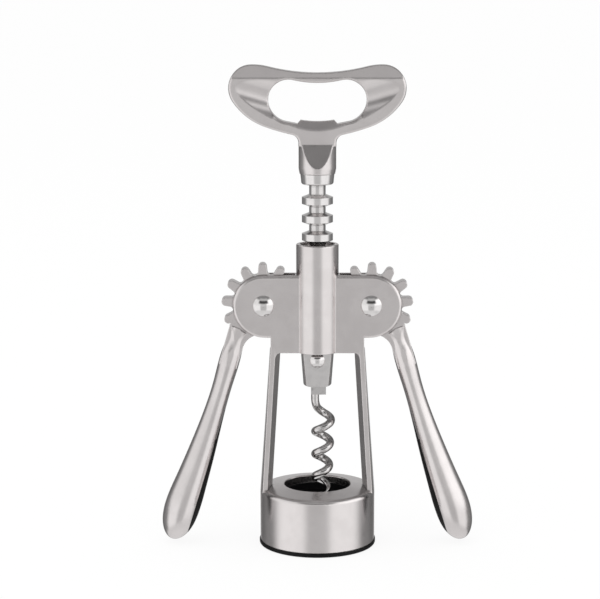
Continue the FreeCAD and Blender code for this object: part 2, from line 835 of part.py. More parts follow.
def make_spindle(doc, s):
    """Rod through the rack, with the flattened end that holds the worm."""
    body = new_body(doc, "worm_spindle")
    rod = s.spindle_diameter / 2
    holder = s.holder_diameter / 2
    foot = holder - s.holder_taper
    taper_top = s.holder_bottom + s.holder_taper_height
    section = Drawing(body, "spindle_section", "XZ_Plane").outline(
        (0, s.holder_bottom),
        (foot - s.holder_round, s.holder_bottom),
        (foot, s.holder_bottom + s.holder_round, s.holder_round),
        (holder, taper_top),
        (holder, s.rack_foot),
        (rod, s.rack_foot),
        (rod, s.head_top + s.spindle_reach),
        (0, s.head_top + s.spindle_reach))
    turned(body, "spindle", section)
    flat = s.holder_across_flats / 2
    flat_top = s.rack_foot - s.holder_flat_drop
    flats = Drawing(body, "flat_outline", "YZ_Plane")
    for side in (-1, 1):
        flats.outline(
            (side * flat, s.holder_bottom - s.lap),
            (side * s.holder_diameter, s.holder_bottom - s.lap),
            (side * s.holder_diameter, flat_top),
            (side * flat, flat_top))
    cut_slab(body, "flats", flats)
    slot_top = s.holder_bottom + s.blade_reach + s.blade_gap
    slot = Drawing(body, "slot_outline", "XZ_Plane").outline(
        (-(s.blade_left + s.blade_gap), s.holder_bottom - s.lap),
        (s.blade_right + s.blade_gap, s.holder_bottom - s.lap),
        (s.blade_right + s.blade_gap, slot_top),
        (-(s.blade_left + s.blade_gap), slot_top))
    cut_slab(body, "worm_slot", slot, s.blade_thickness + 2 * s.blade_gap)
    hole_radius = s.worm_shank_diameter / 2 + s.rivet_gap
    hole = Drawing(body, "worm_rivet_hole_outline", "XZ_Plane")
    hole.circle(0, s.worm_rivet_level, hole_radius)
    cut_slab(body, "worm_rivet_hole", hole)
    return body


def biarc(start, start_way, end, end_way):
    """Two arcs that leave one point and reach another in the directions given."""
    span = end - start
    sides = start_way + end_way
    bend = 2 * (1 - start_way.dot(end_way))
    reach = span.dot(sides)
    handle = (-reach + math.sqrt(reach * reach + bend * span.dot(span))) / bend
    joint = (start + start_way * handle + end - end_way * handle) / 2
    return [arc_leaving(start, start_way, joint, handle),
            arc_leaving(joint, (end - end_way * handle - joint).normalize(), end, handle)]


def arc_leaving(start, way, end, handle):
    """Arc from a point in a direction to another point."""
    chord = end - start
    middle = (start + end) / 2
    outward = (start + way * handle - middle).normalize()
    angle = way.getAngle(chord)
    top = middle + outward * (chord.Length / 2 * math.tan(angle / 2))
    return Part.Arc(start, top, end).toShape()


def round_wire(path, start, way, radius):
    """Solid of round section along a path."""
    ring = Part.Wire(Part.Circle(start, way, radius).toShape())
    shell = Part.BRepOffsetAPI.MakePipeShell(path)
    shell.add(ring)
    shell.build()
    shell.makeSolid()
    return shell.shape()


def make_worm(doc, s):
    """Right-handed open spiral of round wire, with a flattened top and a sharp tip."""
    wire_radius = s.wire_diameter.value / 2
    climb = s.helix_pitch.value / (2 * math.pi)
    shrink = s.helix_shrink.value
    top = s.holder_bottom.value - s.helix_drop.value

    def spot(angle):
        """Point of the centre line, at an angle turned down from the left-hand side.
        The coil tightens from its right-hand side."""
        radius = s.helix_radius.value - shrink * angle
        middle = s.helix_offset.value - shrink * angle
        return FreeCAD.Vector(middle - radius * math.cos(angle),
                              radius * math.sin(angle),
                              top - climb * angle)

    def way(angle):
        """Direction of the centre line there."""
        radius = s.helix_radius.value - shrink * angle
        return FreeCAD.Vector(radius * math.sin(angle) - shrink * (1 - math.cos(angle)),
                              radius * math.cos(angle) - shrink * math.sin(angle),
                              -climb).normalize()

    quarter = math.pi / 2
    first = math.radians(s.helix_start.value)
    body_quarters = round(s.helix_quarters.value - s.point_quarters.value)
    quarters = [quarter * number for number in range(1, body_quarters + 1)]
    angles = [first] + [angle for angle in quarters if angle > first]
    blade_bottom = s.holder_bottom.value - s.blade_drop.value
    neck_across = s.helix_offset.value - s.helix_radius.value
    neck_top = FreeCAD.Vector(neck_across, 0, blade_bottom + s.lap.value)
    neck_foot = FreeCAD.Vector(neck_across, 0, s.holder_bottom.value - s.neck_drop.value)
    down = FreeCAD.Vector(0, 0, -1)
    edges = [Part.LineSegment(neck_top, neck_foot).toShape()]
    edges += biarc(neck_foot, down, spot(first), way(first))
    for here, there in zip(angles, angles[1:]):
        edges += biarc(spot(here), way(here), spot(there), way(there))
    coil = round_wire(Part.Wire(edges), neck_top, down, wire_radius)

    taper_start = angles[-1]
    taper_end = quarter * s.helix_quarters.value
    rings = []
    for step in range(POINT_SECTIONS):
        share = step / (POINT_SECTIONS - 1)
        angle = taper_start + (taper_end - taper_start) * share
        lost = (wire_radius - s.point_radius.value) * share ** s.point_fullness.value
        point_radius = wire_radius - lost
        rings.append(Part.Wire(Part.Circle(spot(angle), way(angle), point_radius).toShape()))
    tip = Part.makeLoft(rings, True, False)

    blade_top = s.holder_bottom.value + s.blade_reach.value
    corner = FreeCAD.Vector(-s.blade_left.value, -s.blade_thickness.value / 2, blade_bottom)
    width = s.blade_left.value + s.blade_right.value
    blade = Part.makeBox(width, s.blade_thickness.value, blade_top - blade_bottom, corner)
    hole_start = FreeCAD.Vector(0, -s.wire_diameter.value, s.worm_rivet_level.value)
    hole_radius = s.worm_shank_diameter.value / 2 + s.rivet_gap.value
    front_axis = FreeCAD.Vector(0, 1, 0)
    hole = Part.makeCylinder(hole_radius, 2 * s.wire_diameter.value, hole_start, front_axis)

    feature = doc.addObject("Part::Feature", "worm")
    feature.Label = "worm"
    feature.Shape = coil.fuse([tip, blade]).cut(hole).removeSplitter()
    return feature


def edge_steps(s, edge, places):
    """Outline steps down the left half of an edge of the bow, and up the right half."""
    left = []
    for place in places:
        across, rise, radius = (getattr(s, alias) for alias in edge_aliases(edge, place))
        left.append((-across, s.head_top + rise, radius))
    right = []
    for here, before in zip(left[::-1], left[-2::-1]):
        right.append((-before[0], before[1], here[2]))
    return left, right


def make_bow(doc, s):
    """Bow to turn the worm by, with its neck, hand hollows and cap-lifter opening."""
    body = new_body(doc, "bow_handle")
    half_depth = s.bow_depth / 2
    left, right = edge_steps(s, "bow", BOW_EDGE)
    throat_across, throat_level, throat_radius = left[-1]
    pad_bottom = throat_level - s.pad_depth
    crest_level = left[1][1]
    outer = Drawing(body, "bow_outline", "XZ_Plane")
    outer.outline(*left, (throat_across, pad_bottom), (-throat_across, pad_bottom),
                  (-throat_across, throat_level), *right, (0, s.head_top + s.bow_top_rise, s.bow_sag_radius))
    slab(body, "bow", outer, s.bow_depth)

    left, right = edge_steps(s, "opening", OPENING_EDGE)
    lip_foot = s.tongue_half_width + s.tongue_flare
    lip_foot_level = left[-1][1] - s.tongue_flare_drop
    tongue_top = s.head_top + s.tongue_rise
    tongue_foot = tongue_top - s.tongue_height
    opening = Drawing(body, "opening_outline", "XZ_Plane")
    opening.outline(*left, (-lip_foot, lip_foot_level), (-s.tongue_half_width, tongue_top),
                    (s.tongue_half_width, tongue_top,
                     cap_radius(s.tongue_half_width, s.tongue_sag)),
                    (lip_foot, lip_foot_level), (-left[-1][0], left[-1][1]), *right,
                    (0, s.head_top + s.opening_top_rise, s.opening_brow_radius))
    hollow = cut_slab(body, "opening", opening)

    def on_face_edge(point):
        on_face = near(abs(point.y), half_depth.value)
        at_lip = abs(point.x) < lip_foot.value + 0.01 and point.z < tongue_top.value + 0.1
        return on_face and not at_lip

    rounded(body, "bow_rims", hollow, on_face_edge, s.bow_edge_round)

    neck = Drawing(body, "neck_section", "XZ_Plane").outline(
        (0, s.head_top),
        (s.neck_foot_radius, s.head_top),
        (s.neck_radius, s.head_top + s.neck_taper_height),
        (s.neck_radius, tongue_foot),
        (0, tongue_foot))
    turned(body, "neck", neck)

    beyond = s.neck_radius + s.lap
    facet_bottom = s.head_top + s.facet_rise
    facet = Drawing(body, "neck_facet_outline", "YZ_Plane").outline(
        (-s.neck_radius, facet_bottom),
        (-half_depth, facet_bottom + s.facet_height),
        (-half_depth, tongue_foot + s.lap),
        (-beyond, tongue_foot + s.lap),
        (-beyond, facet_bottom))
    facet_cut = cut_slab(body, "neck_facet", facet)
    mirrored(body, "other_neck_facet", "XZ_Plane", facet_cut)

    band_foot = crest_level - s.band_drop
    band = Drawing(body, "top_band_outline", "YZ_Plane").outline(
        (-half_depth, band_foot),
        (-s.band_edge / 2, crest_level),
        (-s.band_edge / 2, crest_level + s.lap),
        (-half_depth - s.lap, crest_level + s.lap),
        (-half_depth - s.lap, band_foot))
    band_cut = cut_slab(body, "top_band", band)
    mirrored(body, "other_top_band", "XZ_Plane", band_cut)

    lip_lean = (half_depth - s.tongue_edge / 2) / s.tongue_height
    lip = add(body, "SubtractiveCone", "lip", Radius1=s.lip_cutter_radius,
              Radius2=s.lip_cutter_radius + lip_lean * (s.tongue_height + s.tongue_sag),
              Height=s.tongue_height + s.tongue_sag)
    lip_reach = half_depth.value + s.lip_cutter_radius.value
    lip.Placement.Base = FreeCAD.Vector(0, -lip_reach, tongue_foot.value)
    mirrored(body, "other_lip", "XZ_Plane", lip)

    slope = math.radians(s.hollow_slope.value)
    tilt = math.radians(s.hollow_tilt.value)
    for side in (-1, 1):
        for face in (-1, 1):
            name = f"{'left' if side < 0 else 'right'}_{'front' if face < 0 else 'back'}_hollow"
            hollow = add(body, "SubtractiveCylinder", name, Radius=s.hollow_radius,
                         Height=s.hollow_lead + s.hollow_length)
            way = FreeCAD.Vector(-side * math.cos(tilt) * math.cos(slope),
                                 -face * math.sin(tilt),
                                 -math.cos(tilt) * math.sin(slope))
            outward = FreeCAD.Vector(0, face, 0)
            outward = (outward - way * outward.dot(way)).normalize()
            tip = FreeCAD.Vector(side * s.hollow_tip.value, face * half_depth.value,
                                 (s.head_top + s.hollow_tip_rise).value)
            start = tip + outward * s.hollow_radius.value - way * s.hollow_lead.value
            turn = FreeCAD.Rotation(FreeCAD.Vector(0, 0, 1), way)
            hollow.Placement = FreeCAD.Placement(start, turn)

    socket = Drawing(body, "socket_section", "XZ_Plane").outline(
        (0, s.head_top - s.lap),
        (s.spindle_diameter / 2 + s.spindle_gap, s.head_top - s.lap),
        (s.spindle_diameter / 2 + s.spindle_gap, s.head_top + s.spindle_reach),
        (0, s.head_top + s.spindle_reach))
    add(body, "Groove", "socket", socket, ReferenceAxis=(socket.sketch, ["V_Axis"]), Angle=360)
    return body


def make_parts(doc, s):
    """Every sub-part, in the order that they go together."""
    across = s.pivot_offset.value
    up = s.pivot_height.value
    shank = s.lever_bore - 2 * s.rivet_gap
    pivot_head = (s.pivot_head_diameter, s.pivot_head_height)
    worm_head = (s.worm_head_diameter, s.worm_head_height)
    return [
        make_frame_casting(doc, s),
        make_bell_liner(doc, s),
        make_lever(doc, s, "left_lever", -1),
        make_lever(doc, s, "right_lever", 1),
        make_grip(doc, s, "left_lever_grip", -1),
        make_grip(doc, s, "right_lever_grip", 1),
        make_rivet(doc, "left_pivot_rivet", (-across, 0, up), shank, s.plate_depth, *pivot_head),
        make_rivet(doc, "right_pivot_rivet", (across, 0, up), shank, s.plate_depth, *pivot_head),
        make_rack(doc, s),
        make_spindle(doc, s),
        make_rivet(doc, "worm_rivet", (0, 0, s.worm_rivet_level.value), s.worm_shank_diameter,
                   s.holder_across_flats, *worm_head),
        make_worm(doc, s),
        make_bow(doc, s),
    ]


def check_document(doc, parts):
    """Stops on any object that failed and on any sub-part without a sound solid."""
    for item in doc.Objects:
        if "Invalid" in item.State or "Error" in item.State:
            raise RuntimeError(f"{item.Name} failed: {item.State}")
    for part in parts:
        if part.Shape.isNull() or not part.Shape.isValid() or len(part.Shape.Solids) != 1:
            raise RuntimeError(f"{part.Label} is not one sound solid")


def write_parts(parts):
    """One STEP file for each sub-part."""
    os.makedirs("parts", exist_ok=True)
    for part in parts:
        part.Shape.exportStep(f"parts/{part.Label}.step")
        box = part.Shape.BoundBox
        print(f"{part.Label}: {part.Shape.Volume:.1f} mm3, x {box.XMin:.2f} to {box.XMax:.2f}, "
              f"y {box.YMin:.2f} to {box.YMax:.2f}, z {box.ZMin:.2f} to {box.ZMax:.2f}")


def main():
    doc = FreeCAD.newDocument("wing_corkscrew")
    sizes = Sheet(doc)
    parts = make_parts(doc, sizes)
    doc.recompute()
    check_document(doc, parts)
    write_parts(parts)


main()
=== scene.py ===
import math

import bmesh
import bpy
from bpy.props import FloatProperty, FloatVectorProperty, PointerProperty
from bpy.types import Operator, Panel, PropertyGroup
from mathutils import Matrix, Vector

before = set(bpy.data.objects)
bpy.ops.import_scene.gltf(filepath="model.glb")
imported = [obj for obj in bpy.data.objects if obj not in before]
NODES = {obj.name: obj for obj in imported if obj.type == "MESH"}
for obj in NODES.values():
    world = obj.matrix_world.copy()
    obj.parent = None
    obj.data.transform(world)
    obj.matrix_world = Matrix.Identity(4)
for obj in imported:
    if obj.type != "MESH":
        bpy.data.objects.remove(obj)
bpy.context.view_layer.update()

bl_info = {
    "name": "Wing corkscrew",
    "version": (1, 0, 0),
    "blender": (4, 5, 0),
    "location": "3D View > Sidebar > Corkscrew",
    "description": "Metal and plastic finishes, studio and camera for the wing corkscrew",
    "category": "Object",
}

MM = 0.001
TO_DEGREES = 180.0 / math.pi
WHITE = (1.0, 1.0, 1.0, 1.0)

# All finishes: how far the normals part where an edge starts, and the shares of open sky that
# a corner misses where its painted shade starts and ends
EDGE_START = 0.004
CORNER_SHADE = (0.18, 0.70)

# Camera: width of its sensor in mm, and the picture's width and shift in pixels
SENSOR_WIDTH = 36.0
PICTURE_WIDTH = 600.0
SHIFT_ACROSS = -17.4
SHIFT_UP = 8.2

# Lamp and floor, in metres
LAMP_PLACE = Vector((-0.25, -0.35, 1.5))
LAMP_TARGET = Vector((0.0, 0.0, 0.1))
FLOOR_SIDES = 96
FLOOR_DROP = 0.02 * MM


def colour_property(name, description, default):
    """A colour that the sidebar shows as a swatch."""
    return FloatVectorProperty(name=name, description=description, default=default,
                               subtype="COLOR", size=3, min=0.0, max=1.0)


def length_property(name, description, default):
    """A length in metres, which can't be set to nothing."""
    return FloatProperty(name=name, description=description, default=default,
                         subtype="DISTANCE", unit="LENGTH", min=0.0001 * MM, precision=5)


def share_property(name, description, default, top=1.0):
    """A share from 0 up."""
    return FloatProperty(name=name, description=description, default=default,
                         subtype="FACTOR", min=0.0, max=top, precision=3)


def brightness_property(name, description, default):
    """A brightness, where 1 is white."""
    return share_property(name, description, default, top=4.0)


class CastingFinish(PropertyGroup):
    """Satin nickel over the zinc castings."""

    # Light nickel: the lighter tone of the clouds, and the tone that rounded edges take, partly
    # rubbing and partly a painted highlight
    light: colour_property("Light nickel", "Nickel where it is freshly rubbed", (0.735, 0.70, 0.695))
    dark: colour_property("Dark nickel", "Nickel where it is duller", (0.695, 0.66, 0.655))
    roughness: share_property("Roughness", "How matt the satin plate is", 0.235)
    cloud: length_property("Clouds", "Size of the duller clouds", 9.0 * MM)
    speck: length_property("Specks", "Size of the small matt specks", 0.9 * MM)
    grain: length_property("Grain", "Size of the satin grain", 0.22 * MM)
    grain_depth: length_property("Grain depth", "Height of the satin grain", 0.0003 * MM)
    ripple: length_property("Ripple", "Size of the soft waves left by polishing", 7.0 * MM)
    ripple_depth: length_property("Ripple depth", "Height of the soft waves", 0.012 * MM)
    edge: length_property("Edge", "Rounding that the plate gives each edge", 0.50 * MM)
    bow_edge: length_property("Bow's edge", "Rounding of the bow's edges", 0.90 * MM)
    seam: length_property("Seam", "Half the width of the mould's parting line", 0.10 * MM)
    seam_depth: length_property("Seam depth", "Depth of the mould's parting line", 0.03 * MM)
    # Reach and colour of the painted shade in corners; the mould's parting line is also stained
    # toward this colour
    shade_reach: length_property("Crease", "Reach of the dark lines in corners", 1.1 * MM)
    shade_and_seam_colour: colour_property("Crease colour", "Nickel in the corners", (0.24, 0.225, 0.22))


class BrightFinish(PropertyGroup):
    """Bright nickel over the rivets, the rack, the spindle and the worm."""

    nickel: colour_property("Bright nickel", "Nickel on the turned pieces", (0.77, 0.75, 0.745))
    steel: colour_property("Plated wire", "Nickel on the worm's wire", (0.66, 0.645, 0.64))
    roughness: share_property("Roughness", "How matt the rivets and the wire are", 0.09)
    rack_roughness: share_property("Rack roughness", "How matt the ring rack is", 0.12)
    spindle_roughness: share_property("Spindle roughness", "How matt the spindle is", 0.20)
    stain: length_property("Stains", "Size of the faint stains", 2.5 * MM)
    turning: length_property("Turning marks", "Spacing of the lathe's fine rings", 0.16 * MM)
    turning_depth: length_property("Turning depth", "Height of the lathe's rings", 0.0012 * MM)
    waver: length_property("Waver", "Size of the unevenness in the lathe's rings", 4.0 * MM)
    patch: length_property("Patches", "Size of the wire's dull patches", 2.2 * MM)
    streak: length_property("Streaks", "Size of the wire's streaks", 0.5 * MM)
    streak_depth: length_property("Streak depth", "Height of the wire's streaks", 0.002 * MM)
    edge: length_property("Edge", "Rounding that the plate gives each edge", 0.25 * MM)
    # Reach of the painted shade in the corners of the rivets and the spindle
    shade_reach: length_property("Crease", "Reach of the dark lines in corners", 1.0 * MM)
    groove: length_property("Groove", "Reach of the shade between the rack's rings", 3.0 * MM)
    # Colour of the painted shade in corners and between the rack's rings
    shade_and_seam_colour: colour_property("Crease colour", "Nickel in the corners", (0.16, 0.15, 0.145))


class BlackFinish(PropertyGroup):
    """Black plastic of the liner and the grips."""

    liner: colour_property("Liner", "Plastic of the liner", (0.005, 0.005, 0.0055))
    grip: colour_property("Grip", "Plastic of the grips", (0.007, 0.0065, 0.0065))
    roughness: share_property("Roughness", "How matt the plastic is", 0.42)
    shine: share_property("Shine", "How much light the bare plastic reflects", 0.12)
    texture: length_property("Texture", "Size of the moulded texture", 0.30 * MM)
    texture_depth: length_property("Texture depth", "Height of the moulded texture", 0.006 * MM)
    dust: length_property("Dust", "Size of the dusty patches", 5.0 * MM)
    edge: length_property("Edge", "Rounding of the moulded edges", 0.2 * MM)


class StudioSettings(PropertyGroup):
    """Floor, light and camera."""

    floor: colour_property("Floor", "Colour of the floor", (0.97, 0.97, 0.97))
    floor_white: share_property("Floor white", "Share of the floor that the camera sees as "
                                "plain white, without shadow", 0.88)
    floor_reach: length_property("Floor reach", "Radius of the floor", 12.0)
    plain_light: brightness_property("Plain light", "Strength of the even light", 0.94)
    middle: brightness_property("Middle", "Studio ahead of the object", 0.60)
    middle_top: brightness_property("Middle's top", "Studio ahead, from the level up", 0.71)
    panel: brightness_property("Panels", "Feet of the tall panels at the sides", 1.06)
    left_top: brightness_property("Left panel's top", "Left panel from the level up", 0.95)
    right_top: brightness_property("Right panel's top", "Right panel from the level up", 1.4)
    gap: brightness_property("Gaps", "Dark sides behind the panels", 0.26)
    outline: brightness_property("Outline", "Darkest part, seen along outlines", 0.16)
    back: brightness_property("Back", "Wall behind the object", 0.56)
    ceiling: brightness_property("Ceiling", "Dark ceiling in front", 0.08)
    ceiling_top: brightness_property("Ceiling's top", "Ceiling overhead", 0.28)
    beam: brightness_property("Beam", "Strip across the ceiling", 0.56)
    apron: brightness_property("Apron", "Front edge of the table", 0.82)
    table: brightness_property("Table", "Table, seen in faces that look down", 0.86)
    lamp_power: FloatProperty(name="Lamp", description="Power of the soft lamp overhead",
                              default=4.0, min=0.0, unit="POWER")
    lamp_size: length_property("Lamp size", "Diameter of the soft lamp", 1.1)
    lamp_colour: colour_property("Lamp colour", "Colour of the soft lamp", (1.0, 0.99, 0.97))
    camera_distance: length_property("Distance", "From the camera to its target", 0.740)
    target_height: length_property("Target height", "Height that the camera looks at", 0.090)
    camera_rise: FloatProperty(name="Rise", description="Angle that the camera looks down by",
                               default=math.radians(10.0), subtype="ANGLE", unit="ROTATION")
    lens: FloatProperty(name="Lens", description="Focal length", default=119.5, min=1.0,
                        unit="CAMERA")


class Link:
    """An output of a node that takes part in sums: each operator adds its Math node."""

    def __init__(self, nodes, socket):
        self.nodes = nodes
        self.socket = socket

    def __add__(self, other):
        return self.nodes.maths("ADD", self, other)

    __radd__ = __add__

    def __sub__(self, other):
        return self.nodes.maths("SUBTRACT", self, other)

    def __rsub__(self, other):
        return self.nodes.maths("SUBTRACT", other, self)

    def __mul__(self, other):
        return self.nodes.maths("MULTIPLY", self, other)

    __rmul__ = __mul__

    def __abs__(self):
        return self.nodes.maths("ABSOLUTE", self)

    def sine(self):
        """Sine of this angle in radians."""
        return self.nodes.maths("SINE", self)

    def least(self, other):
        """The smaller of two values."""
        return self.nodes.maths("MINIMUM", self, other)

    def most(self, other):
        """The larger of two values."""
        return self.nodes.maths("MAXIMUM", self, other)

    def degrees_up(self):
        """Elevation in degrees whose sine this is."""
        return self.nodes.maths("ARCSINE", self.least(1.0).most(-1.0)) * TO_DEGREES

    def rise(self, low, high):
        """0 below low, 1 above high and a smooth curve between."""
        return self.nodes.add("MapRange", {"interpolation_type": "SMOOTHSTEP"},
                              {"Value": self, "From Min": low, "From Max": high})

    def toward(self, other, share):
        """This value, moved to another by a share."""
        return self + (other - self) * share

    def swing(self, amount):
        """Noise from 0 to 1, turned into a swing about 0 that is so large in all."""
        return (self - 0.5) * amount


class Nodes:
    """The nodes of a material or of the world."""

    def __init__(self, owner):
        owner.use_nodes = True
        self.tree = owner.node_tree
        self.tree.nodes.clear()

    def add(self, kind, settings=None, values=None, output=0):
        """One node: its settings, then the values or links of its sockets. A socket is given
        by name, or by number where names repeat."""
        node = self.tree.nodes.new(f"ShaderNode{kind}")
        for name, setting in (settings or {}).items():
            setattr(node, name, setting)
        for name, value in (values or {}).items():
            if isinstance(value, Link):
                self.tree.links.new(value.socket, node.inputs[name])
            else:
                node.inputs[name].default_value = value
        return Link(self, node.outputs[output]) if node.outputs else None

    def add_whole(self, kind, values=None):
        """One node, with all its outputs by name."""
        outputs = self.add(kind, values=values).socket.node.outputs
        return {socket.name: Link(self, socket) for socket in outputs}

    def maths(self, operation, *values):
        """A Math node on numbers and links."""
        return self.add("Math", {"operation": operation}, dict(enumerate(values)))

    def axes(self, vector):
        """The three numbers of a vector."""
        return self.add_whole("SeparateXYZ", {"Vector": vector}).values()

    def place(self):
        """Where a point lies in the piece's own axes, in metres."""
        return self.add("TexCoord", output="Object")

    def flat(self):
        """The surface's normal as it is."""
        return self.add("NewGeometry", output="Normal")

    def rounded(self, radius, samples=4):
        """The surface's normal as if its edges were rounded."""
        return self.add("Bevel", {"samples": samples}, {"Radius": radius})

    def edges(self, flat, rounded, full):
        """1 on rounded edges and 0 elsewhere, from how far the two normals part."""
        facing = self.add("VectorMath", {"operation": "DOT_PRODUCT"}, {0: flat, 1: rounded},
                          output="Value")
        return (1.0 - facing).rise(EDGE_START, full)

    def mix(self, share, first, second):
        """A colour between two."""
        return self.add("Mix", {"data_type": "RGBA"}, {"Factor": share, 6: first, 7: second},
                        output=2)

    def noise(self, place, size, detail=2.0, rough=0.5):
        """Soft noise whose lumps are of a size in metres."""
        return self.add("TexNoise", {}, {"Vector": place, "Scale": 1.0 / size, "Detail": detail,
                                         "Roughness": rough})

    def bump(self, height, depth, normal=None):
        """A normal raised by a height from 0 to 1, of a depth in metres."""
        values = {"Height": height, "Distance": depth, "Strength": 1.0}
        if normal is not None:
            values["Normal"] = normal
        return self.add("Bump", {}, values)

    def paint_corner_shade(self, colour, reach, dark):
        """A colour, darkened as painted shade where the surface lies deep in a corner."""
        open_sky = self.add("AmbientOcclusion", {"samples": 6}, {"Distance": reach}, output="AO")
        return self.mix((1.0 - open_sky).rise(*CORNER_SHADE), colour, rgba(dark))

    def surface(self, colour, roughness, normal, more):
        """The material's shader, on its output."""
        values = {"Base Color": colour, "Roughness": roughness, "Normal": normal, **more}
        self.add("OutputMaterial", {}, {"Surface": self.add("BsdfPrincipled", {}, values)})


def rgba(colour, share=1.0):
    """A colour made lighter or darker by a share, with its alpha."""
    return (*(part * share for part in colour), 1.0)


def finish_material(name, colour):
    """An empty material and its nodes. The plain view shows it in the colour."""
    material = bpy.data.materials.new(name)
    material.diffuse_color = rgba(colour)
    return material, Nodes(material)


def dress(names, material):
    """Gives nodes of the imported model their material."""
    for name in names:
        node = NODES[name]
        node.data.materials.clear()
        node.data.materials.append(material)


# Satin nickel: where its patterns start and end, and how much they change roughness or colour
CASTING_EDGE = 0.12
CASTING_EDGE_SHARE = 0.62
CLOUDS = (0.35, 0.65)
SPECKS = (0.66, 0.78)
CLOUD_SWING = 0.06
GRAIN_SWING = 0.03
SPECK_MATT = 0.02
SEAM_CORE = 0.4
SEAM_FACING = (0.5, 0.8)
SEAM_MATT = 0.1
SEAM_STAIN = 0.55


def cast_nickel(name, finish, edge_radius):
    """Satin nickel plate on a casting, with soft edges lightened partly by rubbing and partly as a
    painted highlight, painted shade in its corners and, where the two halves of the mould met at
    the middle of its depth, a faint parting line."""
    material, nodes = finish_material(name, finish.light)
    place = nodes.place()
    flat = nodes.flat()
    rounded = nodes.rounded(edge_radius, samples=6)
    edge = nodes.edges(flat, rounded, CASTING_EDGE)

    grain = nodes.noise(place, finish.grain, detail=3.0, rough=0.65)
    cloud = nodes.noise(place, finish.cloud, detail=3.0, rough=0.6)
    ripple = nodes.noise(place, finish.ripple, detail=1.0, rough=0.4)
    speck = nodes.noise(place, finish.speck).rise(*SPECKS)

    _, depth_in, _ = nodes.axes(place)
    _, faces_front, _ = nodes.axes(flat)
    seam = 1.0 - abs(depth_in).rise(finish.seam * SEAM_CORE, finish.seam)
    seam = seam * (1.0 - abs(faces_front).rise(*SEAM_FACING))

    # Lighter nickel in clouds at random, and on rounded edges, where it is partly rubbing and partly
    # a painted highlight
    light = cloud.rise(*CLOUDS).toward(1.0, edge)
    colour = nodes.mix(light, rgba(finish.dark), rgba(finish.light))
    colour = nodes.mix(seam * SEAM_STAIN, colour, rgba(finish.shade_and_seam_colour))
    # Painted shade: darker nickel deep in corners
    colour = nodes.paint_corner_shade(colour, finish.shade_reach, finish.shade_and_seam_colour)

    matt = finish.roughness + cloud.swing(CLOUD_SWING) + grain.swing(GRAIN_SWING)
    matt = matt + speck * SPECK_MATT
    matt = matt.toward(finish.roughness * CASTING_EDGE_SHARE, edge) + seam * SEAM_MATT

    normal = nodes.bump(ripple, finish.ripple_depth, rounded)
    normal = nodes.bump(grain, finish.grain_depth, normal)
    normal = nodes.bump(1.0 - seam, finish.seam_depth, normal)
    nodes.surface(colour, matt, normal, {"Metallic": 1.0})
    return material


# Turned nickel: where stains start and end, their colour's share, how much they change
# roughness, and how far the lathe's rings waver, in radians
STAINS = (0.4, 0.7)
STAIN_SHARE = 0.93
STAIN_SWING = 0.08
RING_WAVER = 4.0


def turned_nickel(name, finish, axis, roughness, reach):
    """Bright nickel on a turned piece, with the lathe's fine rings square to its axis."""
    material, nodes = finish_material(name, finish.nickel)
    place = nodes.place()
    along = dict(zip("xyz", nodes.axes(place)))[axis]
    waver = nodes.noise(place, finish.waver)
    rings = (along * (2.0 * math.pi / finish.turning) + waver * RING_WAVER).sine()
    stain = nodes.noise(place, finish.stain, detail=3.0, rough=0.6)
    colour = nodes.mix(stain.rise(*STAINS), rgba(finish.nickel), rgba(finish.nickel, STAIN_SHARE))
    # Painted shade: darker nickel deep in corners and between the rack's rings
    colour = nodes.paint_corner_shade(colour, reach, finish.shade_and_seam_colour)
    matt = roughness + stain.swing(STAIN_SWING)
    normal = nodes.bump(rings * 0.5 + 0.5, finish.turning_depth, nodes.rounded(finish.edge))
    nodes.surface(colour, matt, normal, {"Metallic": 1.0})
    return material


# Wire: where its patches start and end in colour and in roughness, and their strength; the darker
# colour is a painted reflection of the other coils, the higher roughness duller plate
REFLECTION_PATCHES = (0.45, 0.75)
REFLECTION_PATCH_SHARE = 0.5
MATT_PATCHES = (0.5, 0.8)
PATCH_MATT = 0.10


def drawn_wire(name, finish):
    """Bright nickel on drawn wire, with faint streaks and a few dull patches that are darker as a
    painted reflection of the other coils.
    """
    material, nodes = finish_material(name, finish.steel)
    place = nodes.place()
    streak = nodes.noise(place, finish.streak, rough=0.6)
    patch = nodes.noise(place, finish.patch, detail=3.0, rough=0.55)
    # Painted reflection: darker patches at random stand in for the other coils mirrored in the wire
    colour = nodes.mix(patch.rise(*REFLECTION_PATCHES), rgba(finish.steel), rgba(finish.steel, REFLECTION_PATCH_SHARE))
    matt = finish.roughness + patch.rise(*MATT_PATCHES) * PATCH_MATT
    nodes.surface(colour, matt, nodes.bump(streak, finish.streak_depth), {"Metallic": 1.0})
    return material


# Plastic: how much dust and rubbed edges change its colour and its roughness; the paler colour on
# edges is a painted sheen
PLASTIC_EDGE = 0.10
PLASTIC_EDGE_SHARE = 0.75
DUST = (0.45, 0.8)
DUST_PALE = 0.5
EDGE_SHEEN = 0.4
PALE_SHARE = 1.9
DUST_SWING = 0.12


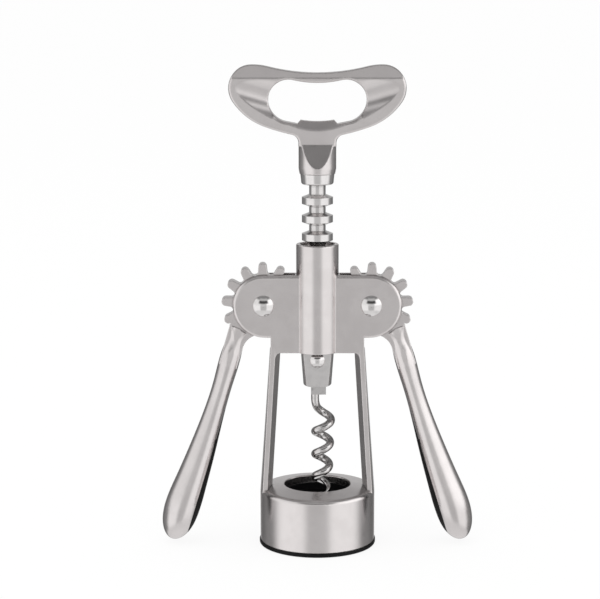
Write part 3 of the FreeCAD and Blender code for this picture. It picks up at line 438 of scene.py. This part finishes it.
def black_plastic(name, finish, colour):
    """Moulded black plastic with a fine texture, rubbed a little smoother on its edges, which are
    paler as a painted sheen.
    """
    material, nodes = finish_material(name, colour)
    place = nodes.place()
    rounded = nodes.rounded(finish.edge)
    edge = nodes.edges(nodes.flat(), rounded, PLASTIC_EDGE)
    texture = nodes.noise(place, finish.texture)
    dust = nodes.noise(place, finish.dust, detail=4.0, rough=0.6)
    # Paler plastic from real dust, and on edges as a painted sheen
    dust_and_sheen = dust.rise(*DUST) * DUST_PALE + edge * EDGE_SHEEN
    tint = nodes.mix(dust_and_sheen, rgba(colour), rgba(colour, PALE_SHARE))
    matt = finish.roughness + dust.swing(DUST_SWING)
    matt = matt.toward(finish.roughness * PLASTIC_EDGE_SHARE, edge)
    normal = nodes.bump(texture, finish.texture_depth, rounded)
    nodes.surface(tint, matt, normal, {"Specular IOR Level": finish.shine})
    return material


class CORKSCREW_OT_frame_casting(Operator):
    """Plates the frame casting in satin nickel"""

    bl_idname = "corkscrew.frame_casting"
    bl_label = "Frame casting"

    def execute(self, context):
        finish = context.scene.corkscrew_castings
        dress(["frame_casting"], cast_nickel("satin_nickel_frame", finish, finish.edge))
        return {"FINISHED"}


class CORKSCREW_OT_bow_handle(Operator):
    """Plates the bow handle in satin nickel"""

    bl_idname = "corkscrew.bow_handle"
    bl_label = "Bow handle"

    def execute(self, context):
        finish = context.scene.corkscrew_castings
        dress(["bow_handle"], cast_nickel("satin_nickel_bow", finish, finish.bow_edge))
        return {"FINISHED"}


class CORKSCREW_OT_levers(Operator):
    """Plates both levers in satin nickel"""

    bl_idname = "corkscrew.levers"
    bl_label = "Levers"

    def execute(self, context):
        finish = context.scene.corkscrew_castings
        dress(["left_lever", "right_lever"],
              cast_nickel("satin_nickel_lever", finish, finish.edge))
        return {"FINISHED"}


class CORKSCREW_OT_ring_rack(Operator):
    """Plates the ring rack in bright nickel"""

    bl_idname = "corkscrew.ring_rack"
    bl_label = "Ring rack"

    def execute(self, context):
        finish = context.scene.corkscrew_bright
        dress(["ring_rack"], turned_nickel("bright_nickel_rack", finish, "z",
                                           finish.rack_roughness, finish.groove))
        return {"FINISHED"}


class CORKSCREW_OT_worm_spindle(Operator):
    """Plates the worm's spindle in bright nickel"""

    bl_idname = "corkscrew.worm_spindle"
    bl_label = "Worm spindle"

    def execute(self, context):
        finish = context.scene.corkscrew_bright
        dress(["worm_spindle"], turned_nickel("bright_nickel_spindle", finish, "z",
                                              finish.spindle_roughness, finish.shade_reach))
        return {"FINISHED"}


class CORKSCREW_OT_rivets(Operator):
    """Plates the three rivets in bright nickel"""

    bl_idname = "corkscrew.rivets"
    bl_label = "Rivets"

    def execute(self, context):
        finish = context.scene.corkscrew_bright
        names = ["left_pivot_rivet", "right_pivot_rivet", "worm_rivet"]
        dress(names, turned_nickel("bright_nickel_rivet", finish, "y", finish.roughness,
                                   finish.shade_reach))
        return {"FINISHED"}


class CORKSCREW_OT_worm(Operator):
    """Plates the worm's wire in bright nickel"""

    bl_idname = "corkscrew.worm"
    bl_label = "Worm"

    def execute(self, context):
        dress(["worm"], drawn_wire("bright_nickel_wire", context.scene.corkscrew_bright))
        return {"FINISHED"}


class CORKSCREW_OT_bell_liner(Operator):
    """Moulds the bell's liner in black plastic"""

    bl_idname = "corkscrew.bell_liner"
    bl_label = "Bell liner"

    def execute(self, context):
        finish = context.scene.corkscrew_black
        dress(["bell_liner"], black_plastic("black_liner", finish, finish.liner))
        return {"FINISHED"}


class CORKSCREW_OT_lever_grips(Operator):
    """Moulds both levers' grips in black plastic"""

    bl_idname = "corkscrew.lever_grips"
    bl_label = "Lever grips"

    def execute(self, context):
        finish = context.scene.corkscrew_black
        dress(["left_lever_grip", "right_lever_grip"],
              black_plastic("black_grip", finish, finish.grip))
        return {"FINISHED"}


# Soft edges in the studio by height, in degrees above the level: where each starts and ends
TABLE_TOP = (-66.0, -54.0)
APRON_TOP = (-44.0, -32.0)
MIDDLE_STEP = (-8.0, -2.0)
PANEL_STEP = (-6.0, 8.0)
WALL_FADE = (6.0, 40.0)
CEILING_START = (8.0, 19.0)
BEAM_START = (31.0, 40.0)
PANEL_TOP = (32.0, 50.0)
BEAM_END = (52.0, 62.0)
OVERHEAD = (54.0, 68.0)
CEILING_END = (56.0, 66.0)
STRAIGHT_UP = (78.0, 88.0)

# Soft edges by turn, in degrees to either side of straight ahead
MIDDLE_SIDE = (16.0, 32.0)
CEILING_SIDE = (28.0, 48.0)
PANEL_SIDE = (76.0, 106.0)
OUTLINE_SIDE = (120.0, 142.0)
WALL_SIDE = (152.0, 168.0)

# How many degrees further round the panels reach from the level up, where the left panel gives
# way to the right one across the studio, and what the wall loses toward its top
PANEL_SPREAD = 18.0
LEFT_TO_RIGHT = (-0.1, 0.1)
WALL_LOSS = 0.38


def studio_pattern(nodes, studio):
    """Brightness of the studio by direction, for polished metal to show: a plain middle, tall
    panels at the sides, dark behind them, a dark ceiling with a beam, and a table below."""
    across, along, up = nodes.axes(nodes.add("TexCoord", output="Generated"))
    turn = abs(nodes.maths("ARCTAN2", across, along * -1.0)) * TO_DEGREES
    height = up.degrees_up()
    raised = height.rise(*PANEL_STEP)

    top_step = studio.right_top - studio.left_top
    top = across.rise(*LEFT_TO_RIGHT) * top_step + studio.left_top
    sides = (top - studio.panel) * raised + studio.panel
    sides = sides.toward(studio.ceiling_top, height.rise(*PANEL_TOP))

    ahead = height.rise(*MIDDLE_STEP) * (studio.middle_top - studio.middle) + studio.middle
    level = sides.toward(ahead, 1.0 - turn.rise(*MIDDLE_SIDE))

    beam = (height.rise(*BEAM_START) - height.rise(*BEAM_END)) * (studio.beam - studio.ceiling)
    overhead = height.rise(*CEILING_END) * (studio.ceiling_top - studio.ceiling)
    roof = beam + overhead + studio.ceiling
    level = level.toward(roof, height.rise(*CEILING_START) * (1.0 - turn.rise(*CEILING_SIDE)))

    level = level.toward(studio.gap, (turn - raised * PANEL_SPREAD).rise(*PANEL_SIDE))
    level = level.toward(studio.outline, turn.rise(*OUTLINE_SIDE))
    wall = (1.0 - height.rise(*WALL_FADE) * WALL_LOSS) * studio.back
    level = level.toward(wall, turn.rise(*WALL_SIDE))

    level = level.toward(studio.ceiling_top, height.rise(*OVERHEAD))
    level = level.toward(studio.middle, height.rise(*STRAIGHT_UP))
    level = level.toward(studio.apron, 1.0 - height.rise(*APRON_TOP))
    return level.toward(studio.table, 1.0 - height.rise(*TABLE_TOP))


class CORKSCREW_OT_studio(Operator):
    """Sets up the floor, the soft light, the studio's surroundings and the camera"""

    bl_idname = "corkscrew.studio"
    bl_label = "Studio"

    def execute(self, context):
        studio = context.scene.corkscrew_studio
        self.lay_floor(context, studio)
        self.surround(context, studio)
        self.hang_lamp(context, studio)
        self.aim_camera(context, studio)
        context.scene.view_settings.view_transform = "Standard"
        return {"FINISHED"}

    def lay_floor(self, context, studio):
        """A round floor, white to the camera, which keeps a share of the object's shadow."""
        mesh = bpy.data.meshes.new("floor")
        shape = bmesh.new()
        bmesh.ops.create_circle(shape, cap_ends=True, segments=FLOOR_SIDES,
                                radius=studio.floor_reach)
        shape.to_mesh(mesh)
        shape.free()
        floor = bpy.data.objects.new("floor", mesh)
        floor.location.z = -FLOOR_DROP
        floor.visible_glossy = False
        context.scene.collection.objects.link(floor)
        material, nodes = finish_material("floor_paper", studio.floor)
        paper = nodes.add("BsdfDiffuse", {}, {"Color": rgba(studio.floor)})
        white = nodes.add("Emission", {}, {"Color": WHITE, "Strength": 1.0})
        camera_ray = nodes.add("LightPath", output="Is Camera Ray")
        seen = nodes.add("MixShader", {}, {0: camera_ray * studio.floor_white, 1: paper,
                                           2: white})
        nodes.add("OutputMaterial", {}, {"Surface": seen})
        mesh.materials.append(material)

    def surround(self, context, studio):
        """An even world, white to the camera, whose pattern shows in polished metal."""
        world = bpy.data.worlds.new("studio")
        context.scene.world = world
        nodes = Nodes(world)
        rays = nodes.add_whole("LightPath")
        clear = rays["Is Camera Ray"] + rays["Is Transmission Ray"]
        backdrop = studio_pattern(nodes, studio).toward(1.0, clear.least(1.0))
        seen = (clear + rays["Is Glossy Ray"]).least(1.0)
        strength = (1.0 - seen) * studio.plain_light + backdrop * seen
        background = nodes.add("Background", {}, {"Color": WHITE, "Strength": strength})
        nodes.add("OutputWorld", {}, {"Surface": background})

    def hang_lamp(self, context, studio):
        """One soft lamp overhead, which metal doesn't show."""
        lamp = bpy.data.lights.new("overhead_lamp", "AREA")
        lamp.shape = "DISK"
        lamp.size = studio.lamp_size
        lamp.energy = studio.lamp_power
        lamp.color = studio.lamp_colour
        holder = bpy.data.objects.new("overhead_lamp", lamp)
        holder.location = LAMP_PLACE
        holder.rotation_euler = (LAMP_PLACE - LAMP_TARGET).to_track_quat("Z", "Y").to_euler()
        holder.visible_glossy = False
        context.scene.collection.objects.link(holder)

    def aim_camera(self, context, studio):
        """The camera that took the picture, with the picture's small shift."""
        lens = bpy.data.cameras.new("camera")
        lens.lens = studio.lens
        lens.sensor_width = SENSOR_WIDTH
        lens.shift_x = SHIFT_ACROSS / PICTURE_WIDTH
        lens.shift_y = SHIFT_UP / PICTURE_WIDTH
        camera = bpy.data.objects.new("camera", lens)
        back = Vector((0.0, -math.cos(studio.camera_rise), math.sin(studio.camera_rise)))
        camera.location = Vector((0.0, 0.0, studio.target_height)) + back * studio.camera_distance
        camera.rotation_euler = back.to_track_quat("Z", "Y").to_euler()
        context.scene.collection.objects.link(camera)
        context.scene.camera = camera


class CORKSCREW_PT_sidebar(Panel):
    """Sizes and colours of the corkscrew, and the operators that use them."""

    bl_label = "Wing corkscrew"
    bl_idname = "CORKSCREW_PT_sidebar"
    bl_space_type = "VIEW_3D"
    bl_region_type = "UI"
    bl_category = "Corkscrew"

    def draw(self, context):
        layout = self.layout
        for group in SETTINGS:
            box = layout.box()
            settings = getattr(context.scene, group)
            box.label(text=settings.bl_rna.description)
            for name in settings.bl_rna.properties.keys():
                if name not in {"name", "rna_type"}:
                    box.prop(settings, name)
        for operator in OPERATORS:
            layout.operator(operator.bl_idname)


SETTINGS = {
    "corkscrew_castings": CastingFinish,
    "corkscrew_bright": BrightFinish,
    "corkscrew_black": BlackFinish,
    "corkscrew_studio": StudioSettings,
}

OPERATORS = (
    CORKSCREW_OT_frame_casting,
    CORKSCREW_OT_bow_handle,
    CORKSCREW_OT_levers,
    CORKSCREW_OT_ring_rack,
    CORKSCREW_OT_worm_spindle,
    CORKSCREW_OT_rivets,
    CORKSCREW_OT_worm,
    CORKSCREW_OT_bell_liner,
    CORKSCREW_OT_lever_grips,
    CORKSCREW_OT_studio,
)

CLASSES = (*SETTINGS.values(), *OPERATORS, CORKSCREW_PT_sidebar)


def register():
    """Registers the classes and puts their settings on the scene."""
    for item in CLASSES:
        bpy.utils.register_class(item)
    for name, group in SETTINGS.items():
        setattr(bpy.types.Scene, name, PointerProperty(type=group))


def unregister():
    """Takes the settings off the scene and the classes out again."""
    for name in SETTINGS:
        delattr(bpy.types.Scene, name)
    for item in reversed(CLASSES):
        bpy.utils.unregister_class(item)


def main():
    """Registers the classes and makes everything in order."""
    register()
    for operator in OPERATORS:
        group, name = operator.bl_idname.split(".")
        getattr(getattr(bpy.ops, group), name)()


if __name__ == "__main__":
    main()
